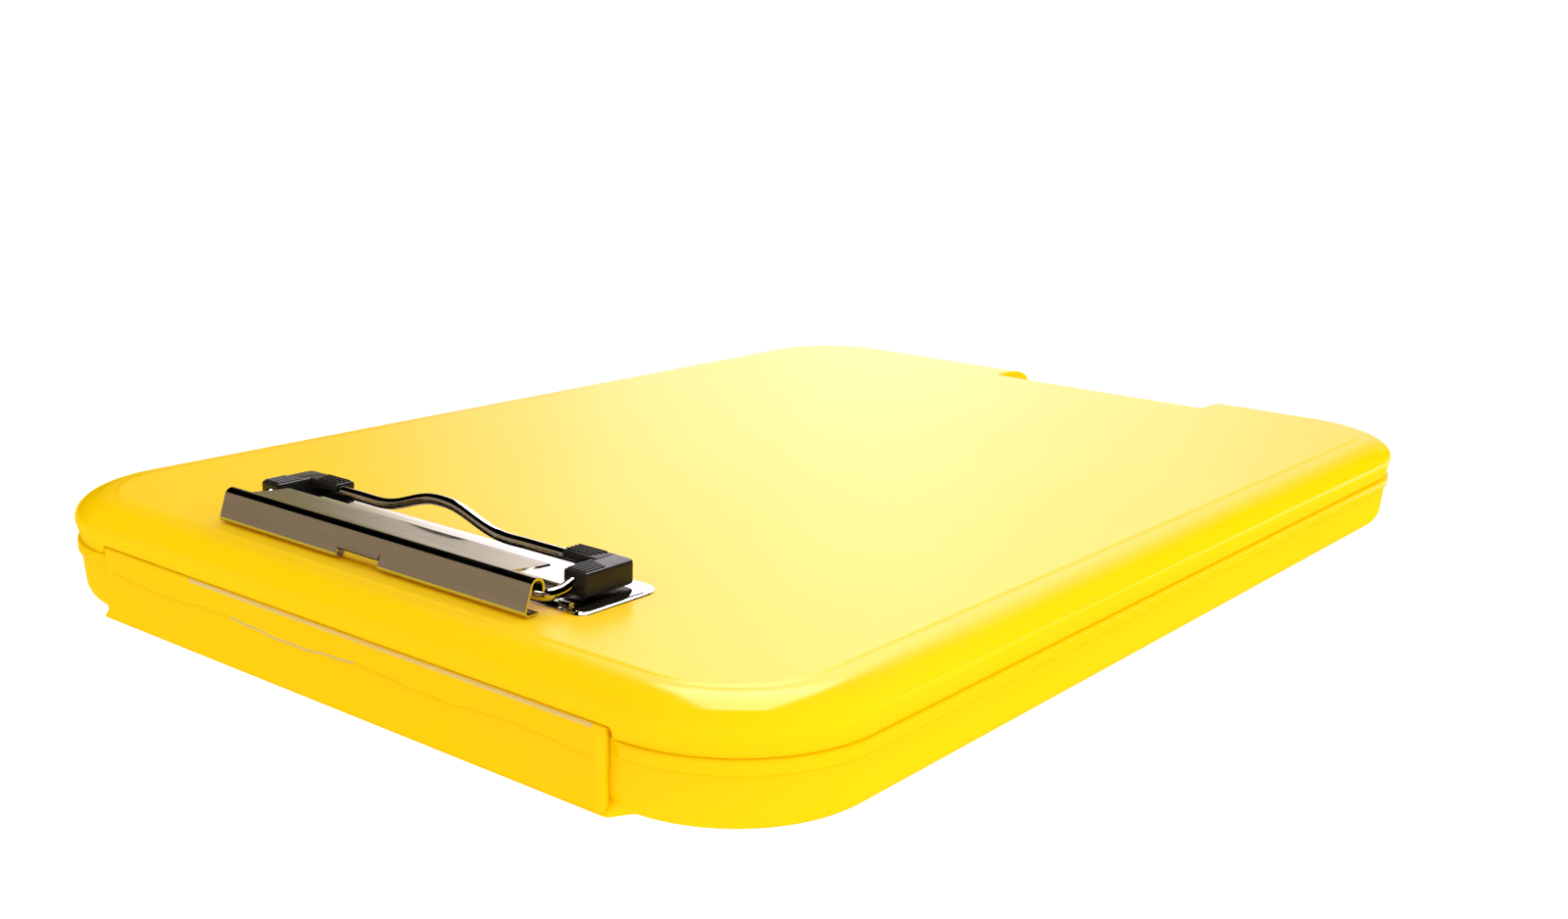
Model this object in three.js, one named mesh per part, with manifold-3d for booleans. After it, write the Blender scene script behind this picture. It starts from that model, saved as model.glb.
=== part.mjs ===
// Storage clipboard: a slim clamshell case with a wire clip riveted to its lid.
// Millimetres. Origin at the centre of the footprint, on the surface it lies on.
// +Z up, +Y towards the latch end, -Y towards the hinge and the clip.

import * as THREE from 'three';
import { mergeVertices } from 'three/addons/utils/BufferGeometryUtils.js';
import Module from 'manifold-3d';

const wasm = await Module();
wasm.setup();

// ---------------------------------------------------------------- driving dimensions

const CASE_WIDTH = 254;            // ten inches
const CASE_LENGTH = 350;
const TOP_HEIGHT = 27.5;           // writing surface above the table
const PARTING_HEIGHT = 16;         // top of the base tray's rim
const CORNER_RADIUS = 36.5;
const WALL = 1.8;
const GAP = 0.3;                   // between pieces that touch
const BEVEL_SIDE = 12;             // width of the lid's bevel along the long sides
const BEVEL_NEAR = 11;             // and at the hinge end
const BEVEL_FAR = 14;              // and at the latch end
const SHOULDER_HEIGHT = 21;        // where the lid's bevel meets its skirt

const SPINE_HALF_WIDTH = 88;
const SPINE_THICKNESS = 1.5;
const SPINE_TOP = 18.5;

const RIB_INSET = 4.9;             // the lid's rib across the hinge end
const RIB_THICKNESS = 1.2;
const RIB_TOP = 24.9;
const RIB_REACH = -126;            // how far it runs back along the sides
const LIP_REACH = -128;            // where the base's lip takes over

const LATCH_CENTRE = 15;           // the latch and its pocket stand off the middle
const LATCH_HALF_WIDTH = 41.5;
const POCKET_BACK = 152;           // back wall of the thumb pocket, along Y
const POCKET_FLOOR = 22.4;
const LATCH_TOP = 20.2;
const LATCH_BOTTOM = 5;
const LATCH_THICKNESS = 1.2;
const LATCH_RECESS = 2.1;          // how far the walls behind the latch are set in

const CLIP_CENTRE = -4.3;          // along X
const CLIP_FRONT = -160;           // front foot of the clip cover, along Y
const COVER_HALF_WIDTH = 54.5;
const COVER_PLATE_HALF_WIDTH = 46.5;
const COVER_THICKNESS = 0.6;
const PLATE_THICKNESS = 0.8;
const WIRE_RADIUS = 1.4;
const WIRE_PIVOT_Y = -151.6;
const WIRE_PIVOT_HEIGHT = 2.9;     // above the writing surface
const WIRE_RUN_Y = -132.7;
const WIRE_RUN_HEIGHT = 5.2;       // above the writing surface
const WIRE_ARM_LEFT = 55.3;        // from the clip's centre
const WIRE_ARM_RIGHT = 53;
const WIRE_END_X = 39.5;           // where the pivot ends of the wire stop
const HUMP_SHIFT = -3.5;           // the wire's hump stands off the clip's centre
const NOTCH_SHIFT = -1.5;          // and so does the cover's notch
const NOTCH_HALF_WIDTH = 7.5;
const PLATE_HALF_WIDTH = 62;
const PLATE_FRONT = -150.7;
const PLATE_REAR = -124.2;
const NOSE_HALF_WIDTH = 46;        // the part of the plate that runs under the cover
const NOSE_LENGTH = 4.2;
const EAR_X = 42.2;                // pivot ears, from the clip's centre
const EAR_RADIUS = 2.9;
const LUG_GAP = 1.9;               // from the middle of the wire's arm to the lug
const LUG_WIDTH = 3.3;
const GRIP_HEIGHT = 6.1;
const GRIP_FRONT_ARM = 7;          // width of the arm along Y
const GRIP_REAR_ARM = 6;           // and of the arm along X
const GRIP_SPAN = 17.5;            // length of the rear arm
const RIVET_X = 25;                // from the clip's centre
const RIVET_Y = -150.6;
const RIVET_RADIUS = 1.6;

const CORNER_STEPS = 12;

const END = CASE_LENGTH / 2;
const SIDE = CASE_WIDTH / 2;

// ---------------------------------------------------------------- materials

const polypropylene = (colour) =>
  new THREE.MeshStandardMaterial({ color: colour, roughness: 0.35, metalness: 0 });
const steel = () =>
  new THREE.MeshStandardMaterial({ color: 0xb8b2a8, roughness: 0.15, metalness: 1 });
const rubber = () =>
  new THREE.MeshStandardMaterial({ color: 0x151413, roughness: 0.6, metalness: 0 });

// ---------------------------------------------------------------- shape helpers

// A rounded rectangle, counter-clockwise from above. Insets run in from the case's
// outline at the long sides, the hinge end and the latch end.
function ring(z, side, near = side, far = side) {
  const inset = (side + near + far) / 3;
  const radius = Math.max(CORNER_RADIUS - inset, 2);
  const x = SIDE - side - radius;
  const yNear = -END + near + radius;
  const yFar = END - far - radius;
  const corners = [[x, yNear, -90], [x, yFar, 0], [-x, yFar, 90], [-x, yNear, 180]];
  const points = [];
  for (const [cx, cy, start] of corners) {
    for (let i = 0; i <= CORNER_STEPS; i++) {
      const angle = THREE.MathUtils.degToRad(start + 90 * i / CORNER_STEPS);
      points.push([cx + radius * Math.cos(angle), cy + radius * Math.sin(angle), z]);
    }
  }
  return points;
}

// Joins rings of equal length into one closed body, capped at its first and last ring.
function loft(rings) {
  const count = rings[0].length;
  const positions = rings.flat(2);
  const indices = [];
  for (let r = 0; r + 1 < rings.length; r++) {
    for (let i = 0; i < count; i++) {
      const next = (i + 1) % count;
      const a = r * count + i;
      const b = r * count + next;
      const c = (r + 1) * count + next;
      const d = (r + 1) * count + i;
      indices.push(a, b, c, a, c, d);
    }
  }
  const last = (rings.length - 1) * count;
  for (let i = 1; i + 1 < count; i++) {
    indices.push(0, i + 1, i);
    indices.push(last, last + i, last + i + 1);
  }
  const geometry = new THREE.BufferGeometry();
  geometry.setAttribute('position', new THREE.Float32BufferAttribute(positions, 3));
  geometry.setIndex(indices);
  return geometry;
}

function block(x0, x1, y0, y1, z0, z1) {
  const geometry = new THREE.BoxGeometry(x1 - x0, y1 - y0, z1 - z0);
  return geometry.translate((x0 + x1) / 2, (y0 + y1) / 2, (z0 + z1) / 2);
}

// A block that is symmetric about the middle of the case.
const centredBlock = (halfWidth, y0, y1, z0, z1) =>
  block(-halfWidth, halfWidth, y0, y1, z0, z1);

// A block that is symmetric about the middle of the latch.
const latchBlock = (halfWidth, y0, y1, z0, z1) =>
  block(LATCH_CENTRE - halfWidth, LATCH_CENTRE + halfWidth, y0, y1, z0, z1);

// Extrudes an outline given in Y and Z along X, from x0 to x1.
function extrudeAlongX(outline, x0, x1) {
  const shape = new THREE.Shape(outline.map(([y, z]) => new THREE.Vector2(y, z)));
  const geometry = new THREE.ExtrudeGeometry(shape, { depth: x1 - x0, bevelEnabled: false });
  const axes = new THREE.Matrix4().makeBasis(
    new THREE.Vector3(0, 1, 0), new THREE.Vector3(0, 0, 1), new THREE.Vector3(1, 0, 0));
  return geometry.applyMatrix4(axes).translate(x0, 0, 0);
}

// A cylinder along X.
function rodAlongX(radius, x0, x1, y, z) {
  const geometry = new THREE.CylinderGeometry(radius, radius, x1 - x0, 24);
  return geometry.rotateZ(Math.PI / 2).translate((x0 + x1) / 2, y, z);
}

function toSolid(geometry) {
  const bare = geometry.clone();
  bare.deleteAttribute('normal');
  bare.deleteAttribute('uv');
  const merged = mergeVertices(bare, 1e-4);
  return new wasm.Manifold(new wasm.Mesh({
    numProp: 3,
    vertProperties: new Float32Array(merged.attributes.position.array),
    triVerts: new Uint32Array(merged.index.array),
  }));
}

function toGeometry(solid) {
  const mesh = solid.getMesh();
  const geometry = new THREE.BufferGeometry();
  geometry.setAttribute('position', new THREE.Float32BufferAttribute(mesh.vertProperties, 3));
  geometry.setIndex([...mesh.triVerts]);
  return geometry;
}

const join = (solid, ...geometries) =>
  geometries.reduce((result, geometry) => result.add(toSolid(geometry)), solid);
const cut = (solid, ...geometries) =>
  geometries.reduce((result, geometry) => result.subtract(toSolid(geometry)), solid);

const clipboard = new THREE.Group();

function addPiece(name, shape, material) {
  const geometry = shape.isBufferGeometry ? shape : toGeometry(shape);
  const mesh = new THREE.Mesh(geometry, material);
  mesh.name = name;
  clipboard.add(mesh);
}

function rivetHole(side) {
  const radius = RIVET_RADIUS + GAP;
  const hole = new THREE.CylinderGeometry(radius, radius, 8, 24).rotateX(Math.PI / 2);
  return hole.translate(CLIP_CENTRE + side * RIVET_X, RIVET_Y, TOP_HEIGHT);
}

// ---------------------------------------------------------------- base tray

function baseTray() {
  const outside = [
    ring(0, 6), ring(0.5, 4.2), ring(1.7, 2.9), ring(3.2, 2.2), ring(5.5, 1.8), ring(8, 1.5),
    ring(12.6, 1.2), ring(13.1, 0.3), ring(15.4, 0.3), ring(PARTING_HEIGHT, 0.8),
  ];
  const inside = [
    ring(PARTING_HEIGHT, WALL + 0.8), ring(12, WALL + 1.2), ring(6, WALL + 1.8),
    ring(3.4, WALL + 2.8), ring(2.2, WALL + 4), ring(WALL, WALL + 5.6),
  ];
  let solid = toSolid(loft([...outside, ...inside]));

  // Locating lip that stands inside the lid's skirt, clear of the hinge and the latch.
  const lip = toSolid(loft([
    ring(13, WALL + 0.9), ring(14.6, WALL + 0.7), ring(15.8, WALL + 1.7), ring(18.6, WALL + 1.7),
  ]));
  const lipHollow = loft([ring(12.8, WALL + 2.9), ring(19, WALL + 2.9)]);
  const hingeEnd = centredBlock(SIDE + 1, -END - 1, LIP_REACH, 12, 20);
  const latchEnd = latchBlock(LATCH_HALF_WIDTH + 4, 160, END + 1, 12, 20);
  solid = solid.add(cut(lip, lipHollow, hingeEnd, latchEnd));

  // The end wall behind the spine is set in by the spine's thickness, and the floor
  // runs out to the crease, where it ends in a mitre.
  const wallFace = -END + SPINE_THICKNESS + GAP;
  solid = join(solid,
    centredBlock(SPINE_HALF_WIDTH + 2, wallFace - 0.2, wallFace + WALL, 0.5, PARTING_HEIGHT),
    centredBlock(SPINE_HALF_WIDTH + 2, -END, -END + 8, 0, WALL));
  const spineSpace = [
    [-END - 1, -0.999], [-END, 0], [wallFace, wallFace + END],
    [wallFace, PARTING_HEIGHT + 1], [-END - 1, PARTING_HEIGHT + 1],
  ];
  const spineReach = SPINE_HALF_WIDTH + GAP;
  solid = cut(solid, extrudeAlongX(spineSpace, -spineReach, spineReach));

  // The wall behind the latch tongue is set in too, and carries the catch.
  const latchFace = END - LATCH_RECESS;
  const latchReach = LATCH_HALF_WIDTH + GAP;
  solid = join(solid,
    latchBlock(latchReach + WALL, latchFace - WALL, latchFace + 0.2, 1, PARTING_HEIGHT));
  solid = cut(solid, latchBlock(latchReach, latchFace, END + 1, LATCH_BOTTOM - 0.5, 17));
  const catchRidge = [
    [latchFace - 0.2, 7.9], [latchFace + 0.5, 8.3], [latchFace + 0.5, 9], [latchFace - 0.2, 10],
  ];
  return join(solid, extrudeAlongX(catchRidge, LATCH_CENTRE - 30, LATCH_CENTRE + 30));
}

// ---------------------------------------------------------------- lid

// The lid's outside, from the skirt's edge up over the bevel to the flat top.
function lidOutside() {
  const bevel = (share, z) =>
    ring(z, share * BEVEL_SIDE, share * BEVEL_NEAR, share * BEVEL_FAR);
  return [
    ring(PARTING_HEIGHT + GAP, 1.3), ring(17.4, 0.8), ring(19.2, 0.35), ring(SHOULDER_HEIGHT, 0),
    bevel(0.03, 22.2), bevel(0.1, 23.4), bevel(0.22, 24.7), bevel(0.38, 25.7),
    bevel(0.6, 26.5), bevel(0.8, 27), bevel(1, TOP_HEIGHT),
  ];
}

function lid() {
  const inside = [
    ring(TOP_HEIGHT - WALL, BEVEL_SIDE + 0.5, BEVEL_NEAR + 0.5, BEVEL_FAR + 0.5),
    ring(24.4, 6.6), ring(23, 3.6), ring(21, 2.2), ring(18.8, WALL + 0.5),
    ring(PARTING_HEIGHT + GAP, WALL + 1.3),
  ];
  let solid = toSolid(loft([...inside, ...lidOutside()]));
  const envelope = toSolid(loft(lidOutside()));

  // Locating rib round the hinge end, where the base tray carries no lip.
  const rib = toSolid(loft([ring(PARTING_HEIGHT + GAP, RIB_INSET), ring(RIB_TOP, RIB_INSET)]));
  const ribHollow = loft([
    ring(PARTING_HEIGHT, RIB_INSET + RIB_THICKNESS), ring(TOP_HEIGHT, RIB_INSET + RIB_THICKNESS),
  ]);
  const rest = centredBlock(SIDE + 1, RIB_REACH, END + 1, PARTING_HEIGHT, TOP_HEIGHT);
  solid = solid.add(cut(rib, ribHollow, rest));

  // Thumb pocket over the latch, with its own walls and floor.
  const latchReach = LATCH_HALF_WIDTH + GAP;
  const tub = toSolid(latchBlock(LATCH_HALF_WIDTH + WALL, POCKET_BACK - WALL, END,
    POCKET_FLOOR - WALL, TOP_HEIGHT));
  solid = solid.add(tub.intersect(envelope));
  const latchFace = END - LATCH_RECESS;
  solid = join(solid, latchBlock(latchReach + WALL, latchFace - WALL, latchFace + 0.2,
    PARTING_HEIGHT + GAP, POCKET_FLOOR - 0.5));
  solid = cut(solid,
    latchBlock(LATCH_HALF_WIDTH, POCKET_BACK, END + 1, POCKET_FLOOR, TOP_HEIGHT + 1),
    latchBlock(latchReach, latchFace, END + 1, PARTING_HEIGHT - 1, LATCH_TOP + GAP));

  // Room for the spine's top edge, and the rivet holes.
  const spineReach = SPINE_HALF_WIDTH + GAP;
  solid = cut(solid, centredBlock(spineReach, -END - 1, -END + 4, PARTING_HEIGHT - 1,
    SPINE_TOP + GAP));
  for (const side of [-1, 1]) {
    solid = cut(solid, rivetHole(side));
  }
  return solid;
}

// ---------------------------------------------------------------- spine and latch

// The wide hinge panel, creased to the base at its foot and to the lid at its head.
function spine() {
  const outer = -END;
  const inner = -END + SPINE_THICKNESS;
  const mitreGap = GAP * Math.SQRT2;
  const outline = [
    [outer, mitreGap], [inner, SPINE_THICKNESS + mitreGap], [inner, SPINE_TOP], [outer, SPINE_TOP],
  ];
  return extrudeAlongX(outline, -SPINE_HALF_WIDTH, SPINE_HALF_WIDTH);
}

// The latch tongue hangs from the lid and hooks under the base's catch.
function latchTongue() {
  const outer = END - 0.1;
  const inner = outer - LATCH_THICKNESS;
  const outline = [
    [outer, LATCH_TOP], [inner, LATCH_TOP], [inner, 7.4], [inner - 0.6, 7.2],
    [inner - 0.6, 6.4], [inner, 5.6], [inner, LATCH_BOTTOM], [outer + 0.1, LATCH_BOTTOM],
  ];
  return extrudeAlongX(outline,
    LATCH_CENTRE - LATCH_HALF_WIDTH, LATCH_CENTRE + LATCH_HALF_WIDTH);
}

// ---------------------------------------------------------------- clip

const armX = (side) => (side < 0 ? WIRE_ARM_LEFT : WIRE_ARM_RIGHT);

// The wire's centre line, from one pivot end round both corners to the other.
function wirePath() {
  const z0 = TOP_HEIGHT + WIRE_PIVOT_HEIGHT;
  const z1 = TOP_HEIGHT + WIRE_RUN_HEIGHT;
  const end = (arm) => [
    [WIRE_END_X, WIRE_PIVOT_Y, z0], [45, WIRE_PIVOT_Y, z0], [arm - 3, WIRE_PIVOT_Y, z0],
    [arm - 0.8, WIRE_PIVOT_Y + 1, z0 + 0.1], [arm, WIRE_PIVOT_Y + 3.4, z0 + 0.4],
    [arm, WIRE_RUN_Y - 10.5, z1 - 0.5], [arm, WIRE_RUN_Y - 5, z1],
    [arm - 0.8, WIRE_RUN_Y - 1.5, z1], [arm - 3, WIRE_RUN_Y, z1], [arm - 10, WIRE_RUN_Y, z1],
  ];
  const left = end(armX(-1)).map(([x, y, z]) => [-x, y, z]);
  const right = end(armX(1)).reverse();
  const hump = [[-30, 0], [-22, 0], [-17, 0.8], [-7, 3.9], [-3, 4.6]];
  const rise = hump.map(([x, up]) => [HUMP_SHIFT + x, WIRE_RUN_Y, z1 + up]);
  const fall = hump.map(([x, up]) => [HUMP_SHIFT - x, WIRE_RUN_Y, z1 + up]).reverse();
  const points = [...left, ...rise, ...fall, ...right]
    .map(([x, y, z]) => new THREE.Vector3(CLIP_CENTRE + x, y, z));
  return new THREE.CatmullRomCurve3(points, false, 'centripetal');
}

function wire(radius, sides = 12, steps = 150) {
  const section = new THREE.Shape();
  for (let i = 0; i < sides; i++) {
    const angle = 2 * Math.PI * i / sides;
    const point = [radius * Math.cos(angle), radius * Math.sin(angle)];
    if (i === 0) section.moveTo(...point);
    else section.lineTo(...point);
  }
  section.closePath();
  return new THREE.ExtrudeGeometry(section, { steps, extrudePath: wirePath() });
}

// The pressed steel plate under the wire, with its pivot ears, its front tab through
// the cover's notch, and a small upturned lug at each front corner.
function clipBasePlate() {
  const bottom = TOP_HEIGHT + GAP;
  const top = bottom + PLATE_THICKNESS;
  const radius = 6;
  const [left, right] = [-PLATE_HALF_WIDTH, PLATE_HALF_WIDTH];
  const [front, rear] = [PLATE_FRONT, PLATE_REAR];
  const shape = new THREE.Shape();
  shape.moveTo(left + radius, rear);
  shape.absarc(left + radius, rear - radius, radius, Math.PI / 2, Math.PI, false);
  shape.absarc(left + radius - 3, front + 3, 3, Math.PI, Math.PI * 1.5, false);
  shape.lineTo(-NOSE_HALF_WIDTH, front);
  shape.lineTo(-NOSE_HALF_WIDTH, front - NOSE_LENGTH);
  shape.lineTo(NOSE_HALF_WIDTH, front - NOSE_LENGTH);
  shape.lineTo(NOSE_HALF_WIDTH, front);
  shape.absarc(right - 3, front + 3, 3, -Math.PI / 2, 0, false);
  shape.absarc(right - radius, rear - radius, radius, 0, Math.PI / 2, false);
  shape.closePath();
  const sheet = new THREE.ExtrudeGeometry(shape,
    { depth: PLATE_THICKNESS, bevelEnabled: false, curveSegments: 8 });
  let solid = toSolid(sheet.translate(CLIP_CENTRE, 0, bottom));

  const pivot = TOP_HEIGHT + WIRE_PIVOT_HEIGHT;
  for (const side of [-1, 1]) {
    const x = CLIP_CENTRE + side * EAR_X;
    solid = join(solid,
      block(x - 0.6, x + 0.6, WIRE_PIVOT_Y - EAR_RADIUS, WIRE_PIVOT_Y + EAR_RADIUS, bottom, pivot),
      rodAlongX(EAR_RADIUS, x - 0.6, x + 0.6, WIRE_PIVOT_Y, pivot));
    const lug = armX(side) + LUG_GAP;
    const [lugLeft, lugRight] = [lug, lug + LUG_WIDTH]
      .map((offset) => CLIP_CENTRE + side * offset).sort((a, b) => a - b);
    solid = join(solid, block(lugLeft, lugRight, front, front + 1, bottom, top + 1.8));
    solid = cut(solid, rivetHole(side),
      rodAlongX(WIRE_RADIUS + 0.35, x - 2, x + 2, WIRE_PIVOT_Y, pivot));
  }
  const tabX = CLIP_CENTRE + NOTCH_SHIFT;
  const tab = [
    [front - 4, bottom], [front - 7.4, bottom + 0.4], [front - 7.9, bottom + 1.6],
    [front - 7.3, bottom + 1.6], [front - 7, bottom + 1.2], [front - 4, top],
  ];
  return join(solid, extrudeAlongX(tab, tabX - 6.8, tabX + 6.8));
}

// The spring steel cover: a foot, a leaning front face and a rolled top edge, which curls
// down at both ends and runs back as a flat plate between them.
function clipCover() {
  const foot = TOP_HEIGHT + GAP;
  const rollY = CLIP_FRONT + 3.8;
  const rollZ = TOP_HEIGHT + 6.4;
  const rollRadius = 2.1;
  const roll = (radius, from, to) => {
    const points = [];
    for (let i = 0; i <= 10; i++) {
      const angle = THREE.MathUtils.degToRad(from + (to - from) * i / 10);
      points.push([rollY + radius * Math.cos(angle), rollZ + radius * Math.sin(angle)]);
    }
    return points;
  };
  const curlFoot = TOP_HEIGHT + 4.8;
  const innerRadius = rollRadius - COVER_THICKNESS;
  const outline = [
    [CLIP_FRONT + 4, foot], [CLIP_FRONT, foot], ...roll(rollRadius, 168, 0),
    [rollY + rollRadius, curlFoot], [rollY + innerRadius, curlFoot], ...roll(innerRadius, 0, 168),
    [CLIP_FRONT + 0.7, foot + COVER_THICKNESS], [CLIP_FRONT + 4, foot + COVER_THICKNESS],
  ].reverse();
  const left = CLIP_CENTRE - COVER_PLATE_HALF_WIDTH;
  const right = CLIP_CENTRE + COVER_PLATE_HALF_WIDTH;
  const notchX = CLIP_CENTRE + NOTCH_SHIFT;
  const sheet = toSolid(extrudeAlongX(outline,
    CLIP_CENTRE - COVER_HALF_WIDTH, CLIP_CENTRE + COVER_HALF_WIDTH));
  const open = cut(sheet,
    block(left, right, rollY + 0.4, rollY + 5, foot + 2, rollZ + 5),
    block(notchX - NOTCH_HALF_WIDTH, notchX + NOTCH_HALF_WIDTH, CLIP_FRONT - 1, CLIP_FRONT + 5,
      TOP_HEIGHT, TOP_HEIGHT + 2.6));
  const crown = rollZ + rollRadius - 0.04;
  const rear = CLIP_FRONT + 15;
  const plate = [
    [rollY - 0.3, crown - COVER_THICKNESS + 0.08], [rear, crown - 0.9 - COVER_THICKNESS],
    [rear, crown - 0.9], [rollY - 0.3, crown],
  ];
  return join(open, extrudeAlongX(plate, left + 0.05, right - 0.05));
}

// A rubber corner on the wire. Its front arm is a full-height foot; its rear arm is a cap
// over the wire, which shows below the cap's front edge.
function grip(side) {
  const bottom = TOP_HEIGHT + GAP + PLATE_THICKNESS + GAP;
  const outerX = armX(side) + 4;
  const innerX = outerX - GRIP_SPAN;
  const [front, rear] = [WIRE_PIVOT_Y + 7.2, WIRE_RUN_Y + 4];
  const footX = outerX - GRIP_FRONT_ARM;
  const capFront = rear - GRIP_REAR_ARM;
  const outline = [
    [outerX, front], [outerX, rear - 1.5], [outerX - 1.5, rear], [innerX, rear],
    [innerX, capFront], [footX, capFront], [footX, front],
  ];
  const shape = new THREE.Shape();
  shape.setFromPoints(outline.map(([x, y]) => new THREE.Vector2(side * x, y)));
  const body = new THREE.ExtrudeGeometry(shape,
    { depth: GRIP_HEIGHT - 1, bevelEnabled: true, bevelThickness: 0.5, bevelSize: 0.5,
      bevelOffset: -0.5, bevelSegments: 2 });
  body.translate(CLIP_CENTRE, 0, bottom + 0.5);
  const spread = [innerX - 1, footX].map((x) => CLIP_CENTRE + side * x).sort((a, b) => a - b);
  const underCap = block(...spread, capFront - 1, WIRE_RUN_Y, bottom - 1,
    TOP_HEIGHT + WIRE_RUN_HEIGHT);
  return cut(toSolid(body), wire(WIRE_RADIUS + GAP), underCap);
}

// A round-headed rivet: a low head on the plate and a flared tail under the lid.
function rivet(side) {
  const headFoot = TOP_HEIGHT + 2 * GAP + PLATE_THICKNESS;
  const tailTop = TOP_HEIGHT - WALL - GAP;
  const profile = [
    [0, tailTop - 1.1], [3, tailTop - 0.9], [3.6, tailTop - 0.3], [3.6, tailTop],
    [RIVET_RADIUS, tailTop], [RIVET_RADIUS, headFoot], [3.8, headFoot], [3.7, headFoot + 0.4],
    [2.6, headFoot + 1], [0, headFoot + 1.2],
  ];
  const geometry = new THREE.LatheGeometry(profile.map(([r, z]) => new THREE.Vector2(r, z)), 24);
  return geometry.rotateX(Math.PI / 2).translate(CLIP_CENTRE + side * RIVET_X, RIVET_Y, 0);
}

// ---------------------------------------------------------------- assembly

addPiece('base_tray', baseTray(), polypropylene(0xffd800));
addPiece('lid', lid(), polypropylene(0xffe34d));
addPiece('hinge_spine', spine(), polypropylene(0xffd500));
addPiece('latch_tongue', latchTongue(), polypropylene(0xffd500));
addPiece('clip_base_plate', clipBasePlate(), steel());
addPiece('clip_cover', clipCover(), steel());
addPiece('wire_bail', wire(WIRE_RADIUS), steel());
addPiece('grip_left', grip(-1), rubber());
addPiece('grip_right', grip(1), rubber());
addPiece('rivet_left', rivet(-1), steel());
addPiece('rivet_right', rivet(1), steel());

export default clipboard;
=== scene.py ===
"""Looks for the storage clipboard: translucent case, spring clip, wire bail and rubber corners."""
import math

import bmesh
import bpy
from mathutils import Matrix, Vector


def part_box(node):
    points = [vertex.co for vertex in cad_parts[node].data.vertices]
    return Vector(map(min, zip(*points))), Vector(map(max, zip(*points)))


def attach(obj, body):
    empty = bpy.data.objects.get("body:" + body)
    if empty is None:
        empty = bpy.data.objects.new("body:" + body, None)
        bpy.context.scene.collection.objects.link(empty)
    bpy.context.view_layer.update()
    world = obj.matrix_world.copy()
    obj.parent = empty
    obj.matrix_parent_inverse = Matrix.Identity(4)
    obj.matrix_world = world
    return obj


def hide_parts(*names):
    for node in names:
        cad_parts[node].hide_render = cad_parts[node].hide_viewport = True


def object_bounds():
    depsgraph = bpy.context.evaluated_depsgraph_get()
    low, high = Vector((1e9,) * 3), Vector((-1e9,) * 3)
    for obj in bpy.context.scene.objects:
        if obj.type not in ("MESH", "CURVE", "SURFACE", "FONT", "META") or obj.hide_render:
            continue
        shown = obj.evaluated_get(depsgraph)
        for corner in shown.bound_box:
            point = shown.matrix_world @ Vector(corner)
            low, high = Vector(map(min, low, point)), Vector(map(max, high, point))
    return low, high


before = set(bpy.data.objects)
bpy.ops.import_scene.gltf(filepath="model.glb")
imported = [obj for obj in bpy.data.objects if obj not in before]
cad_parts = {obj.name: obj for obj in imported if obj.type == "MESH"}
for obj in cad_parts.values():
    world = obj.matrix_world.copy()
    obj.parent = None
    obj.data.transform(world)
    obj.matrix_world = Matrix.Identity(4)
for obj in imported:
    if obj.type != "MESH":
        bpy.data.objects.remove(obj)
cad_low, cad_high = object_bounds()

# ---------------------------------------------------------------- sizes, in millimetres
# The outer sizes come from the frame; the rest repeats the named sizes of the CAD source.

MM = 0.001


def box_mm(node):
    """The two corners of a node's box."""
    low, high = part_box(node)
    return Vector(low) / MM, Vector(high) / MM


case_high = box_mm("lid")[1]
cover_low, cover_high = box_mm("clip_cover")
spine_low, spine_high = box_mm("hinge_spine")
latch_low, latch_high = box_mm("latch_tongue")
plate_low, plate_high = box_mm("clip_base_plate")

SIDE = case_high.x
END = case_high.y
TOP = case_high.z
PARTING = 16.0
RIM = 16.16                        # the base's rim, close under the lid's skirt
GAP = 0.3
WALL = 1.8
CORNER_RADIUS = 36.5
BEVEL = (12.0, 11.0, 14.0)         # widths at the long sides, the hinge end and the latch end
SHOULDER = 21.1                    # where the lid's upright skirt turns into its crown
SPINE_REACH = spine_high.x + GAP
SPINE_WALL = -END + 1.8            # face of the base's end wall behind the spine
SPINE_TOP = spine_high.z
LATCH_CENTRE = (latch_low.x + latch_high.x) / 2
LATCH_HALF = (latch_high.x - latch_low.x) / 2
LATCH_REACH = LATCH_HALF + GAP
LATCH_WALL = END - 2.1             # face of the walls behind the latch tongue
LATCH_HEAD = latch_high.z + GAP
POCKET_BACK = 152.0
POCKET_FLOOR = 22.4
LIP_TOP = 18.6
CLIP_X = (cover_low.x + cover_high.x) / 2
CLIP_FRONT = cover_low.y
COVER_HALF = (cover_high.x - cover_low.x) / 2
COVER_PLATE_HALF = 46.5
COVER_SHEET = 0.6
PLATE_SHEET = 0.8
WIRE_RADIUS = 1.4
WIRE_PIVOT = (-151.6, TOP + 2.9)   # y and z of the bail's axis
WIRE_RUN = (-132.7, TOP + 5.2)     # y and z of the run behind the cover
WIRE_END_X = 39.5                  # the wire's hidden ends, from the clip's centre
WIRE_ARM_LEFT = 55.3               # the wire's arms, from the clip's centre
WIRE_ARM_RIGHT = 53.0
HUMP_SHIFT = -3.5                  # the wire's hump stands off the clip's centre
NOTCH_SHIFT = -1.5                 # and so does the cover's notch
NOTCH_HALF = 7.5
GRIP_FOOT = 7                      # width of a grip's foot along X
GRIP_CAP = 6                       # and of its cap along Y
RIB_INSET = 4.9                    # the lid's rib round the hinge end
RIB_THICKNESS = 1.2

CORNER_STEPS = 36                  # round each corner of the case
CROWN_STEPS = 14                   # up the lid's crown

# ---------------------------------------------------------------- camera

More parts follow.
